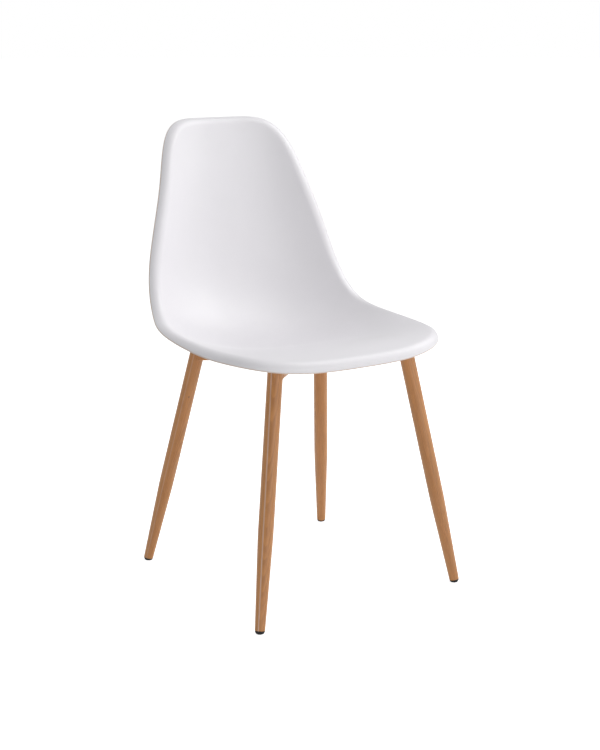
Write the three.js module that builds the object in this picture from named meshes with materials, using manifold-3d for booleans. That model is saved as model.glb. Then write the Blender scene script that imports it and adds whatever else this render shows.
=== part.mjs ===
// A dining chair: a one-piece moulded shell seat with a rolled lip, on a crossed steel frame with
// four splayed, tapered tube legs. Millimetres, +Z up, the chair faces -Y, and the origin is on
// the floor under the middle of the chair. Left and right are the sitter's.
import * as THREE from 'three';
import { mergeVertices } from 'three/addons/utils/BufferGeometryUtils.js';
import Module from 'manifold-3d';

const GAP = 0.3; // between pieces that touch

// Shell. Its centre line is a B-spline through the side view, from the front edge to the top edge.
const LINE_Y = [-214, -155, -43, 104, 188, 201, 211, 224];
const LINE_Z = [441, 457, 425, 402, 505, 614, 701, 797];
// Half width of the sheet and rise of its sides, at stations spread evenly along the centre line.
const HALF_WIDTH = [236, 230, 212, 194, 173, 134, 122];
const SIDE_RISE = [8, 2, 51, 56, 53, 42, 29];
const RISE_POWER = 2.5; // how the rise grows from the centre line to the side
const RISE_ROUNDING = 0.15; // rounds its bottom at the centre line
const FRONT_POWER = 3.2; // superellipse powers of the outline, front half and top half
const TOP_POWER = 6;
const SHELL_THICKNESS = 4;
const LIP_RADIUS = 16;
const SHELL_CELLS = 26;
const LIP_STEPS = 4;

// Legs: round tube, straight and then tapered to the foot. Axis points on the floor and higher up.
const LEG_RADIUS = 13;
const LEG_WALL = 1.4;
const FOOT_RADIUS = 8.5;
const TAPER_LENGTH = 162.5;
const LEG_HEIGHT = 411.3; // height of the upper axis points
const LEG_FLOOR = { front: [208, -231], rear: [198.2, 177.6] };
const LEG_UPPER = { front: [137.5, -170.9], rear: [133, 89.2] };
const LEG_ABOVE_FRAME = 8;
const LEG_SIDES = 24;

// Glides and caps close the ends of the legs.
const GLIDE_HEIGHT = 4.8;
const GLIDE_RADIUS = 8.3;
const GLIDE_STEM = 14;
const CAP_THICKNESS = 2;
const CAP_STEM = 10;

// Frame: flat rectangular tubes that cross under the seat, in a plane that drops to the rear.
const FRAME_Y = -38;
const FRAME_Z = 406.6;
const FRAME_TILT = THREE.MathUtils.degToRad(3.19);
const BAR_WIDTH = 25;
const BAR_HEIGHT = 12;
const BAR_WALL = 1.5;
const BAR_CORNER = 2.5;
const BAR_START = 4; // from a leg's axis to the end of its bar
const PLATE_WIDTH = 84;
const PLATE_THICKNESS = 2.5;
const PLATE_CORNER = 8;

// Fixings between frame and shell, at this distance from the crossing along each bar.
const FIXING_DISTANCE = 128;
const PAD_RADIUS = 11;
const PAD_HEIGHT = 2;
const BOSS_RADIUS = 11;
const BOSS_FLARE = 13;
const RIB_WIDTH = 2.2;
const RIB_LENGTH = 52;
const INSERT_RADIUS = 4.4;
const INSERT_LENGTH = 6.6;
const INSERT_TEETH = 14;
const BOLT_RADIUS = 3;
const BOLT_CLEARANCE = 3.4;
const BOLT_REACH = 21.4; // from under the head to the tip
const HEAD_RADIUS = 5.2;
const HEAD_HEIGHT = 3.3;
const SOCKET_RADIUS = 2.3;
const SOCKET_DEPTH = 2;
const WASHER_RADIUS = 6.3;
const WASHER_HEIGHT = 1.6;

const material = (color, roughness, metalness) => new THREE.MeshStandardMaterial({ color, roughness, metalness });
const shellWhite = () => material(0xf2f2f4, 0.38, 0);
const woodPrint = () => material(0xb98253, 0.5, 0);
const blackPlastic = () => material(0x17171a, 0.5, 0);
const greyRubber = () => material(0x2b2b2d, 0.8, 0);
const zinc = () => material(0xb9bdc2, 0.32, 1);
const brass = () => material(0xc6a052, 0.35, 1);

const wasm = await Module();
wasm.setup();

function named(name, geometry, itsMaterial) {
  const mesh = new THREE.Mesh(geometry, itsMaterial);
  mesh.name = name;
  return mesh;
}

// A closed mesh as a solid: shared vertices are merged and collapsed triangles at poles dropped.
function solid(geometry) {
  const plain = geometry.clone();
  plain.deleteAttribute('normal');
  plain.deleteAttribute('uv');
  const merged = mergeVertices(plain, 1e-4);
  const index = merged.getIndex().array;
  const kept = [];
  for (let i = 0; i < index.length; i += 3) {
    const [a, b, c] = [index[i], index[i + 1], index[i + 2]];
    if (a !== b && b !== c && c !== a) {
      kept.push(a, b, c);
    }
  }
  const vertProperties = new Float32Array(merged.getAttribute('position').array);
  return new wasm.Manifold(new wasm.Mesh({ numProp: 3, vertProperties, triVerts: new Uint32Array(kept) }));
}

function fromSolid(body) {
  const mesh = body.getMesh();
  const geometry = new THREE.BufferGeometry();
  geometry.setAttribute('position', new THREE.BufferAttribute(new Float32Array(mesh.vertProperties), 3));
  geometry.setIndex(new THREE.BufferAttribute(new Uint32Array(mesh.triVerts), 1));
  geometry.computeVertexNormals();
  return geometry;
}

// Cylinder along Z from one height to another.
function cylinder(radius, low, high, sides = 24) {
  const geometry = new THREE.CylinderGeometry(radius, radius, high - low, sides);
  return geometry.rotateX(Math.PI / 2).translate(0, 0, (low + high) / 2);
}

// Body of revolution about Z from [radius, height] points.
function turned(points, sides = 24) {
  const profile = points.map(([radius, height]) => new THREE.Vector2(radius, height));
  return new THREE.LatheGeometry(profile, sides).rotateX(Math.PI / 2);
}

// Flat ring on the plane of XY, from one height to another.
function ring(outer, inner, low, high) {
  const shape = new THREE.Shape().absarc(0, 0, outer, 0, 2 * Math.PI);
  shape.holes.push(new THREE.Path().absarc(0, 0, inner, 0, 2 * Math.PI, true));
  const options = { depth: high - low, bevelEnabled: false, curveSegments: 9 };
  return new THREE.ExtrudeGeometry(shape, options).translate(0, 0, low);
}

function roundedRectangle(path, width, height, radius) {
  const x = width / 2 - radius;
  const y = height / 2 - radius;
  path.absarc(x, y, radius, 0, Math.PI / 2);
  path.absarc(-x, y, radius, Math.PI / 2, Math.PI);
  path.absarc(-x, -y, radius, Math.PI, 1.5 * Math.PI);
  path.absarc(x, -y, radius, 1.5 * Math.PI, 2 * Math.PI);
  path.closePath();
  return path;
}

// ---- Shell ----

// Uniform cubic B-spline over 0..1 that starts and ends on its first and last stations.
function spline(stations, t) {
  const last = stations.length - 1;
  const span = Math.min(Math.floor(t * last), last - 1);
  const u = t * last - span;
  const padded = [2 * stations[0] - stations[1], ...stations, 2 * stations[last] - stations[last - 1]];
  const weights = [(1 - u) ** 3, 3 * u ** 3 - 6 * u ** 2 + 4, 1 + 3 * u + 3 * u ** 2 - 3 * u ** 3, u ** 3];
  return weights.reduce((sum, weight, k) => sum + (weight * padded[span + k]) / 6, 0);
}

// Share of the side rise at a place across the sheet: 0 on the centre line and 1 at the side.
function riseShare(across) {
  const curve = (x) => (x ** 2 + RISE_ROUNDING ** 2) ** (RISE_POWER / 2) - RISE_ROUNDING ** RISE_POWER;
  return curve(across) / curve(1);
}

// Point of the sheet's upper surface. Along runs 0..1 from front to top, across -1..1 from side to
// side: the centre line, plus the half width sideways, plus the side rise along the line's normal.
function sheetPoint(across, along) {
  const step = 5e-4;
  const [before, after] = [Math.max(along - step, 0), Math.min(along + step, 1)];
  const dy = spline(LINE_Y, after) - spline(LINE_Y, before);
  const dz = spline(LINE_Z, after) - spline(LINE_Z, before);
  const rise = (spline(SIDE_RISE, along) * riseShare(across)) / Math.hypot(dy, dz);
  return new THREE.Vector3(
    spline(HALF_WIDTH, along) * across,
    spline(LINE_Y, along) - rise * dz,
    spline(LINE_Z, along) + rise * dy,
  );
}

function sheetNormal(across, along) {
  const step = 2e-3;
  const low = Math.max(along - step, 0);
  const high = Math.min(along + step, 1);
  const side = sheetPoint(across + step, along).sub(sheetPoint(across - step, along));
  const up = sheetPoint(across, high).sub(sheetPoint(across, low));
  return side.cross(up).normalize();
}

// Place on the sheet at an angle and a fraction of the way out to the superellipse outline.
function sheetPlace(angle, fraction) {
  const power = Math.sin(angle) < 0 ? FRONT_POWER : TOP_POWER;
  const sum = Math.abs(Math.cos(angle)) ** power + Math.abs(Math.sin(angle)) ** power;
  const reach = fraction * sum ** (-1 / power);
  return [reach * Math.cos(angle), (reach * Math.sin(angle) + 1) / 2];
}

// Angle and fraction for a place in a square grid: rings of the square become rings of the outline.
function squareToRound(u, v) {
  if (u === 0 && v === 0) {
    return [0, 0];
  }
  const quarter = Math.PI / 4;
  if (Math.abs(u) > Math.abs(v)) {
    const angle = (quarter * v) / u;
    return [u > 0 ? angle : angle + Math.PI, Math.abs(u)];
  }
  const angle = Math.PI / 2 - (quarter * u) / v;
  return [v > 0 ? angle : angle + Math.PI, Math.abs(v)];
}

// Square frame at the outline: the point, the way out and the surface normal.
function edgeFrame(angle) {
  const point = sheetPoint(...sheetPlace(angle, 1));
  const tangent = sheetPoint(...sheetPlace(angle + 1e-3, 1)).sub(sheetPoint(...sheetPlace(angle - 1e-3, 1)));
  tangent.normalize();
  const out = point.clone().sub(sheetPoint(...sheetPlace(angle, 0.998)));
  out.addScaledVector(tangent, -out.dot(tangent)).normalize();
  return { point, out, normal: out.clone().cross(tangent) };
}

// Point of the rolled lip: an arc that starts along the sheet and turns down by the given angle.
function lipPoint(edge, turn, depth) {
  const radius = LIP_RADIUS - depth;
  const point = edge.point.clone().addScaledVector(edge.normal, radius * Math.cos(turn) - LIP_RADIUS);
  return point.addScaledVector(edge.out, radius * Math.sin(turn));
}

// The square grid's rim, anticlockwise, as [column, row].
function rimOrder(cells) {
  const steps = Array.from({ length: cells }, (_, k) => k);
  const front = steps.map((k) => [k, 0]);
  const right = steps.map((k) => [cells, k]);
  const top = steps.map((k) => [cells - k, cells]);
  const left = steps.map((k) => [0, cells - k]);
  return [...front, ...right, ...top, ...left];
}

// The sheet with its lip: upper grid, lip rings round to the underside, and lower grid.
function shellGeometry() {
  const positions = [];
  const index = [];
  const add = (point) => positions.push(point.x, point.y, point.z) / 3 - 1;
  const upper = [];
  const lower = [];
  const places = [];
  for (let row = 0; row <= SHELL_CELLS; row += 1) {
    for (let column = 0; column <= SHELL_CELLS; column += 1) {
      const place = squareToRound((2 * column) / SHELL_CELLS - 1, (2 * row) / SHELL_CELLS - 1);
      const [across, along] = sheetPlace(...place);
      const point = sheetPoint(across, along);
      places.push(place);
      upper.push(add(point));
      lower.push(add(point.clone().addScaledVector(sheetNormal(across, along), -SHELL_THICKNESS)));
    }
  }
  const at = (column, row) => row * (SHELL_CELLS + 1) + column;
  for (let row = 0; row < SHELL_CELLS; row += 1) {
    for (let column = 0; column < SHELL_CELLS; column += 1) {
      const corners = [at(column, row), at(column + 1, row), at(column + 1, row + 1), at(column, row + 1)];
      const [a, b, c, d] = corners.map((corner) => upper[corner]);
      index.push(a, b, c, a, c, d);
      const [e, f, g, h] = corners.map((corner) => lower[corner]);
      index.push(e, g, f, e, h, g);
    }
  }
  const rim = rimOrder(SHELL_CELLS).map(([column, row]) => at(column, row));
  const edges = rim.map((corner) => edgeFrame(places[corner][0]));
  const turns = Array.from({ length: LIP_STEPS }, (_, k) => ((k + 1) / LIP_STEPS) * (Math.PI / 2));
  const outerRings = turns.map((turn) => edges.map((edge) => add(lipPoint(edge, turn, 0))));
  const innerRings = turns.map((turn) => edges.map((edge) => add(lipPoint(edge, turn, SHELL_THICKNESS))));
  const rings = [rim.map((corner) => upper[corner]), ...outerRings];
  rings.push(...innerRings.reverse(), rim.map((corner) => lower[corner]));
  for (let k = 1; k < rings.length; k += 1) {
    for (let b = 0; b < rim.length; b += 1) {
      const next = (b + 1) % rim.length;
      index.push(rings[k - 1][b], rings[k][b], rings[k][next]);
      index.push(rings[k - 1][b], rings[k][next], rings[k - 1][next]);
    }
  }
  const geometry = new THREE.BufferGeometry();
  geometry.setAttribute('position', new THREE.Float32BufferAttribute(positions, 3));
  geometry.setIndex(index);
  return geometry;
}

// Everything below the middle of the sheet's thickness, under the seat only.
function spaceUnderSeat() {
  const cells = 24;
  const floor = 360;
  const positions = [];
  const index = [];
  for (let row = 0; row <= cells; row += 1) {
    for (let column = 0; column <= cells; column += 1) {
      const across = 0.75 * ((2 * column) / cells - 1);
      const along = 0.08 + (0.46 * row) / cells;
      const middle = sheetPoint(across, along).addScaledVector(sheetNormal(across, along), -SHELL_THICKNESS / 2);
      positions.push(middle.x, middle.y, middle.z, middle.x, middle.y, floor);
    }
  }
  const at = (column, row) => 2 * (row * (cells + 1) + column);
  for (let row = 0; row < cells; row += 1) {
    for (let column = 0; column < cells; column += 1) {
      const [a, b, c, d] = [at(column, row), at(column + 1, row), at(column + 1, row + 1), at(column, row + 1)];
      index.push(a, b, c, a, c, d, a + 1, c + 1, b + 1, a + 1, d + 1, c + 1);
    }
  }
  const rim = rimOrder(cells).map(([column, row]) => at(column, row));
  rim.forEach((here, b) => {
    const next = rim[(b + 1) % rim.length];
    index.push(here, here + 1, next + 1, here, next + 1, next);
  });
  const geometry = new THREE.BufferGeometry();
  geometry.setAttribute('position', new THREE.Float32BufferAttribute(positions, 3));
  geometry.setIndex(index);
  return solid(geometry);
}

// ---- Legs ----

// A leg stands in a group at its foot, with the group's Z along its axis.
function legGroup(end, side) {
  const [floorX, floorY] = LEG_FLOOR[end];
  const [upperX, upperY] = LEG_UPPER[end];
  const foot = new THREE.Vector3(side * floorX, floorY, 0);
  const axis = new THREE.Vector3(side * upperX, upperY, LEG_HEIGHT).sub(foot).normalize();
  const group = new THREE.Group();
  group.position.copy(foot);
  group.quaternion.setFromUnitVectors(new THREE.Vector3(0, 0, 1), axis);
  group.updateMatrixWorld();
  return group;
}

function legRadiusAt(distance) {
  const fraction = Math.min(distance / TAPER_LENGTH, 1);
  return FOOT_RADIUS + fraction * (LEG_RADIUS - FOOT_RADIUS);
}

function legTube(length) {
  const foot = legRadiusAt(GLIDE_HEIGHT + GAP);
  return turned(
    [
      [foot, GLIDE_HEIGHT + GAP],
      [LEG_RADIUS, TAPER_LENGTH],
      [LEG_RADIUS, length],
      [LEG_RADIUS - LEG_WALL, length],
      [LEG_RADIUS - LEG_WALL, TAPER_LENGTH],
      [foot - LEG_WALL, GLIDE_HEIGHT + GAP],
      [foot, GLIDE_HEIGHT + GAP],
    ],
    LEG_SIDES,
  );
}

// Domed plastic glide with a stem inside the tube, cut flat where it stands on the floor.
function footGlide(group) {
  const stem = legRadiusAt(GLIDE_HEIGHT) - LEG_WALL - GAP;
  const body = turned(
    [
      [0, -2],
      [3.6, -1.6],
      [6.3, 0],
      [7.7, 2],
      [GLIDE_RADIUS, 3.4],
      [GLIDE_RADIUS, GLIDE_HEIGHT],
      [stem, GLIDE_HEIGHT],
      [stem - 0.8, GLIDE_HEIGHT + GLIDE_STEM],
      [0, GLIDE_HEIGHT + GLIDE_STEM],
    ],
    LEG_SIDES,
  );
  const upright = body.applyQuaternion(group.quaternion);
  const aboveFloor = new THREE.BoxGeometry(60, 60, 60).translate(0, 0, 30);
  return fromSolid(solid(upright).intersect(solid(aboveFloor)));
}

function topCap(length) {
  const stem = LEG_RADIUS - LEG_WALL - GAP;
  return turned([
    [0, length - CAP_STEM],
    [stem, length - CAP_STEM],
    [stem, length + GAP],
    [LEG_RADIUS, length + GAP],
    [LEG_RADIUS, length + GAP + CAP_THICKNESS / 2],
    [LEG_RADIUS - 1, length + GAP + CAP_THICKNESS],
    [0, length + GAP + CAP_THICKNESS],
  ]);
}

// ---- Frame ----

const frame = new THREE.Group();
frame.position.set(0, FRAME_Y, FRAME_Z);
frame.rotation.x = -FRAME_TILT;
frame.updateMatrixWorld();

const CORNERS = [
  { name: 'front_right', end: 'front', side: -1 },
  { name: 'front_left', end: 'front', side: 1 },
  { name: 'rear_right', end: 'rear', side: -1 },
  { name: 'rear_left', end: 'rear', side: 1 },
];

// Where a leg's axis meets the frame's middle plane: in the frame, and as a distance up the leg.
function legMeetsFrame(group) {
  const toFrame = frame.matrixWorld.clone().invert();
  const foot = group.position.clone().applyMatrix4(toFrame);
  const axis = new THREE.Vector3(0, 0, 1).applyQuaternion(group.quaternion).transformDirection(toFrame);
  const distance = -foot.z / axis.z;
  return { point: foot.addScaledVector(axis, distance), distance };
}

for (const corner of CORNERS) {
  corner.leg = legGroup(corner.end, corner.side);
  const { point, distance } = legMeetsFrame(corner.leg);
  corner.meeting = point;
  corner.length = distance + LEG_ABOVE_FRAME;
  corner.fixing = point.clone().setLength(FIXING_DISTANCE);
}
const [frontRight, frontLeft, rearRight, rearLeft] = CORNERS;

// Solid bar of a section along the frame's plane from one point to another.
function bar(shape, from, to) {
  const along = to.clone().sub(from);
  const length = along.length();
  const geometry = new THREE.ExtrudeGeometry(shape, { depth: length, bevelEnabled: false, curveSegments: 2 });
  along.normalize();
  const normal = new THREE.Vector3(0, 0, 1);
  const sideways = normal.clone().cross(along);
  geometry.applyMatrix4(new THREE.Matrix4().makeBasis(sideways, normal, along));
  return geometry.translate(from.x, from.y, from.z);
}

function hollowSection() {
  const shape = roundedRectangle(new THREE.Shape(), BAR_WIDTH, BAR_HEIGHT, BAR_CORNER);
  const inside = BAR_CORNER - BAR_WALL;
  const bore = new THREE.Path();
  roundedRectangle(bore, BAR_WIDTH - 2 * BAR_WALL, BAR_HEIGHT - 2 * BAR_WALL, inside);
  shape.holes.push(bore);
  return shape;
}

// The space that a leg takes in the frame, for the saddle cut at a bar's end.
function legSpace(corner) {
  const geometry = cylinder(LEG_RADIUS + GAP, corner.length - 60, corner.length + 30, LEG_SIDES);
  geometry.applyMatrix4(corner.leg.matrixWorld);
  return solid(geometry.applyMatrix4(frame.matrixWorld.clone().invert()));
}

function boltHole(corner) {
  const hole = cylinder(BOLT_CLEARANCE, -BAR_HEIGHT, BAR_HEIGHT, 12);
  return solid(hole.translate(corner.fixing.x, corner.fixing.y, 0));
}

// Bar between two corners, or from one corner to the crossing, cut to fit and drilled.
function frameBar(corners, cutAway) {
  const ends = corners.map(({ meeting }) => meeting.clone().setLength(meeting.length() - BAR_START));
  const [from, to] = ends.length === 2 ? ends : [ends[0], new THREE.Vector3()];
  let body = solid(bar(hollowSection(), from, to));
  for (const corner of corners) {
    body = body.subtract(legSpace(corner)).subtract(boltHole(corner));
  }
  return fromSolid(cutAway ? body.subtract(cutAway) : body);
}

function crossingSpace() {
  const width = BAR_WIDTH / 2 + GAP;
  const height = BAR_HEIGHT;
  const block = new THREE.Shape([
    new THREE.Vector2(-width, -height),
    new THREE.Vector2(width, -height),
    new THREE.Vector2(width, height),
    new THREE.Vector2(-width, height),
  ]);
  return solid(bar(block, frontLeft.meeting, rearRight.meeting));
}

function crossingPlate() {
  const shape = roundedRectangle(new THREE.Shape(), PLATE_WIDTH, PLATE_WIDTH, PLATE_CORNER);
  const options = { depth: PLATE_THICKNESS, bevelEnabled: false, curveSegments: 3 };
  const top = -BAR_HEIGHT / 2 - GAP;
  return new THREE.ExtrudeGeometry(shape, options).translate(0, 0, top - PLATE_THICKNESS);
}

// ---- Fixings, in a group at each fixing point of the frame ----

const padLow = BAR_HEIGHT / 2 + GAP;
const padHigh = padLow + PAD_HEIGHT;
const bossLow = padHigh + GAP;
const washerHigh = -BAR_HEIGHT / 2 - GAP;
const headHigh = washerHigh - WASHER_HEIGHT - GAP;

// Boss with crossed ribs that the shell has above each fixing point, up to the middle of the sheet.
function boss(corner, underSeat) {
  const tall = 60;
  const post = turned(
    [
      [0, bossLow],
      [BOSS_RADIUS, bossLow],
      [BOSS_FLARE, bossLow + tall],
      [0, bossLow + tall],
    ],
    20,
  );
  let body = solid(post);
  for (const turn of [Math.PI / 4, -Math.PI / 4]) {
    const rib = new THREE.BoxGeometry(RIB_LENGTH, RIB_WIDTH, tall);
    rib.rotateZ(turn).translate(0, 0, bossLow + 1.5 + tall / 2);
    body = body.add(solid(rib));
  }
  return placed(body, corner).intersect(underSeat);
}

function insertHole(corner) {
  const depth = INSERT_LENGTH + 2 * GAP;
  const hole = cylinder(INSERT_RADIUS + GAP, bossLow - 1, bossLow + depth, 16);
  return placed(solid(hole), corner);
}

// A solid from a fixing's own axes in the chair's axes.
function placed(body, corner) {
  const matrix = frame.matrixWorld.clone();
  matrix.multiply(new THREE.Matrix4().makeTranslation(corner.fixing.x, corner.fixing.y, 0));
  return body.transform(matrix.elements);
}

function insertGeometry() {
  const shape = new THREE.Shape();
  for (let k = 0; k < 2 * INSERT_TEETH; k += 1) {
    const angle = (k / INSERT_TEETH) * Math.PI;
    const radius = INSERT_RADIUS - (k % 2) * 0.5;
    shape[k ? 'lineTo' : 'moveTo'](radius * Math.cos(angle), radius * Math.sin(angle));
  }
  shape.closePath();
  shape.holes.push(new THREE.Path().absarc(0, 0, BOLT_RADIUS + GAP, 0, 2 * Math.PI, true));
  const options = { depth: INSERT_LENGTH, bevelEnabled: false, curveSegments: 7 };
  return new THREE.ExtrudeGeometry(shape, options).translate(0, 0, bossLow + GAP);
}

function boltGeometry() {
  const low = headHigh - HEAD_HEIGHT;
  const body = turned(
    [
      [0, low],
      [HEAD_RADIUS * 0.55, low],
      [HEAD_RADIUS * 0.88, low + HEAD_HEIGHT * 0.4],
      [HEAD_RADIUS, headHigh],
      [BOLT_RADIUS, headHigh],
      [BOLT_RADIUS, headHigh + BOLT_REACH - 1],
      [BOLT_RADIUS - 1, headHigh + BOLT_REACH],
      [0, headHigh + BOLT_REACH],
    ],
    18,
  );
  const socket = cylinder(SOCKET_RADIUS, low - 1, low + SOCKET_DEPTH, 6);
  return fromSolid(solid(body).subtract(solid(socket)));
}

// ---- The chair ----

const chair = new THREE.Group();

const underSeat = spaceUnderSeat();
let shell = solid(shellGeometry());
for (const corner of CORNERS) {
  shell = shell.add(boss(corner, underSeat)).subtract(insertHole(corner));
}
chair.add(named('seat_shell', fromSolid(shell), shellWhite()));

frame.add(named('frame_bar_long', frameBar([frontLeft, rearRight]), woodPrint()));
frame.add(named('frame_bar_front_right', frameBar([frontRight], crossingSpace()), woodPrint()));
frame.add(named('frame_bar_rear_left', frameBar([rearLeft], crossingSpace()), woodPrint()));
frame.add(named('frame_plate', crossingPlate(), woodPrint()));
chair.add(frame);

for (const corner of CORNERS) {
  const fixing = new THREE.Group();
  fixing.position.copy(corner.fixing);
  const pad = ring(PAD_RADIUS, BOLT_CLEARANCE, padLow, padHigh);
  const washer = ring(WASHER_RADIUS, BOLT_CLEARANCE, washerHigh - WASHER_HEIGHT, washerHigh);
  fixing.add(named(`seat_pad_${corner.name}`, pad, greyRubber()));
  fixing.add(named(`threaded_insert_${corner.name}`, insertGeometry(), brass()));
  fixing.add(named(`washer_${corner.name}`, washer, zinc()));
  fixing.add(named(`seat_bolt_${corner.name}`, boltGeometry(), zinc()));
  frame.add(fixing);

  corner.leg.add(named(`leg_${corner.name}`, legTube(corner.length), woodPrint()));
  corner.leg.add(named(`leg_cap_${corner.name}`, topCap(corner.length), blackPlastic()));
  chair.add(corner.leg);

  const glide = named(`foot_glide_${corner.name}`, footGlide(corner.leg), blackPlastic());
  glide.position.copy(corner.leg.position);
  chair.add(glide);
}

export default chair;
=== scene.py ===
import math

import bmesh
import bpy
import numpy as np
from mathutils import Euler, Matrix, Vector


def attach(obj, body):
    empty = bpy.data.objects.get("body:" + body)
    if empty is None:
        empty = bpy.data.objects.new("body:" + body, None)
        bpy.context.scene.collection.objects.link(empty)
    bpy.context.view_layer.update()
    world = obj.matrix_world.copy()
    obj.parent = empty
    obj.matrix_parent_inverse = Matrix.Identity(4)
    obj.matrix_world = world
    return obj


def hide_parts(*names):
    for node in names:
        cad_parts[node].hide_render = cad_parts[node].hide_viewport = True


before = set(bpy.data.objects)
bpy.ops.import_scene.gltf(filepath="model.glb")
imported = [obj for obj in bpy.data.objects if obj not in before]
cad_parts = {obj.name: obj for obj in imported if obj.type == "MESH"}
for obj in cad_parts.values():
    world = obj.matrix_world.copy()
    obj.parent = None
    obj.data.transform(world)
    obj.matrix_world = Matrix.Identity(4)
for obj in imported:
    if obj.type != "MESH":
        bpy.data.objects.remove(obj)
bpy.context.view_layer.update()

# A dining chair: a moulded shell seat with a rolled lip on a crossed steel frame and four splayed,
# tapered tube legs with a printed wood finish. Metres, +Z up, the chair faces -Y.

# ---- Sizes ----

# Shell: centre line in side view, half width and side rise at even stations from front to top.
LINE_Y = np.array([-0.214, -0.155, -0.043, 0.104, 0.188, 0.201, 0.211, 0.224])
LINE_Z = np.array([0.441, 0.457, 0.425, 0.402, 0.505, 0.614, 0.701, 0.797])
HALF_WIDTH = np.array([0.236, 0.230, 0.212, 0.194, 0.173, 0.134, 0.122])
SIDE_RISE = np.array([0.008, 0.002, 0.051, 0.056, 0.053, 0.042, 0.029])
RISE_POWER = 2.5
RISE_ROUNDING = 0.15
FRONT_POWER = 3.2
TOP_POWER = 6.0
SHELL_THICKNESS = 0.004
LIP_RADIUS = 0.016
LIP_EDGE_ROUND = 0.0012
TRIM_HEIGHT = 0.0022
TRIM_FADE = 0.001
SHELL_CELLS = 132

# Legs.
LEG_RADIUS = 0.013
LEG_WALL = 0.0014
FOOT_RADIUS = 0.0085
TAPER_LENGTH = 0.1625
LEG_SIDES = 160
GAP = 0.0003

# Glides and caps.
GLIDE_HEIGHT = 0.0048
GLIDE_RADIUS = 0.0083
GLIDE_STEM = 0.014
CAP_THICKNESS = 0.002
CAP_ROUNDING = 0.0015
CAP_STEM = 0.010
PLUG_SIDES = 72
RIDGE_FALL = 0.0016

# Frame, in a plane that drops to the rear.
FRAME_CENTRE = np.array([0.0, -0.038, 0.4066])
FRAME_TILT = math.radians(3.19)
BAR_WIDTH = 0.025
BAR_HEIGHT = 0.012
BAR_CORNER = 0.0025
BAR_START = 0.004
BEAD_RADIUS = 0.0008
BEAD_RIPPLE = 0.0012
BEAD_SWELL = 0.13
BEAD_SIDES = 10
PLATE_WIDTH = 0.084
PLATE_THICKNESS = 0.0025
PLATE_CORNER = 0.008

# Fixings.
FIXING_DISTANCE = 0.128
PAD_RADIUS = 0.011
PAD_HEIGHT = 0.002
BOSS_RADIUS = 0.011
BOSS_FLARE = 0.013
RIB_WIDTH = 0.0022
RIB_LENGTH = 0.052
RIB_STEP = 0.0015
RIB_END_HEIGHT = 0.0028
INSERT_RADIUS = 0.0044
INSERT_LENGTH = 0.0066
KNURL_TEETH = 28
KNURL_DEPTH = 0.055
GROOVE_DEPTH = 0.0006
BOLT_RADIUS = 0.003
BOLT_CLEARANCE = 0.0034
BOLT_REACH = 0.0214
THREAD_START = 0.011
THREAD_PITCH = 0.001
THREAD_DEPTH = 0.00045
HEAD_RADIUS = 0.0052
HEAD_HEIGHT = 0.0033
SOCKET_RADIUS = 0.0023
SOCKET_DEPTH = 0.002
WASHER_RADIUS = 0.0063
WASHER_HEIGHT = 0.0016
FIXING_SIDES = 48

CORNERS = ["front_right", "front_left", "rear_right", "rear_left"]


# ---- Mesh helpers ----


def unit(vectors):
    """Vectors divided by their length, along the last axis."""
    return vectors / np.linalg.norm(vectors, axis=-1, keepdims=True)


def lattice_faces(rows, columns, wrap_rows=False, wrap_columns=False, first=0):
    """Quads between neighbours of a rows by columns lattice of points numbered row by row."""
    row = np.arange(rows if wrap_rows else rows - 1)
    column = np.arange(columns if wrap_columns else columns - 1)
    r, c = np.meshgrid(row, column, indexing="ij")
    next_r = (r + 1) % rows
    next_c = (c + 1) % columns
    quads = [r * columns + c, r * columns + next_c, next_r * columns + next_c, next_r * columns + c]
    return np.stack(quads, axis=-1).reshape(-1, 4) + first


def new_mesh(name, points, quads):
    """Mesh data from an array of points and an array of quads."""
    data = bpy.data.meshes.new(name)
    data.vertices.add(len(points))
    data.vertices.foreach_set("co", np.ascontiguousarray(points, dtype=np.float32).ravel())
    data.loops.add(quads.size)
    data.loops.foreach_set("vertex_index", quads.astype(np.int32).ravel())
    data.polygons.add(len(quads))
    data.polygons.foreach_set("loop_start", np.arange(0, quads.size, 4, dtype=np.int32))
    data.update(calc_edges=True)
    return data


def add_attribute(data, name, values):
    """Stores one number or one vector a point on the mesh, for its material to read."""
    kind = "FLOAT" if values.ndim == 1 else "FLOAT_VECTOR"
    field = "value" if values.ndim == 1 else "vector"
    attribute = data.attributes.new(name, kind, "POINT")
    attribute.data.foreach_set(field, np.ascontiguousarray(values, dtype=np.float32).ravel())


def close_poles(data):
    """Merges points that coincide, which closes poles and seams, and drops collapsed faces."""
    work = bmesh.new()
    work.from_mesh(data)
    bmesh.ops.remove_doubles(work, verts=work.verts, dist=1e-7)
    bmesh.ops.dissolve_degenerate(work, dist=1e-8, edges=work.edges)
    work.to_mesh(data)
    work.free()


def piece(name, data, material, replaced, crease=40.0):
    """Makes the object of a finished mesh, smooth but for edges sharper than crease degrees."""
    close_poles(data)
    data.shade_smooth()
    data.set_sharp_from_angle(angle=math.radians(crease))
    data.materials.append(material)
    made = bpy.data.objects.new(name, data)
    bpy.context.scene.collection.objects.link(made)
    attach(made, "root")
    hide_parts(*replaced)


def corner_piece(kind, replaced, corner, points, quads, material):
    """Piece named for its corner, in place of that corner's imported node."""
    name = kind + "_" + corner.name
    data = new_mesh(name, points, quads)
    piece(name, data, material, [replaced + "_" + corner.name])


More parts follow.
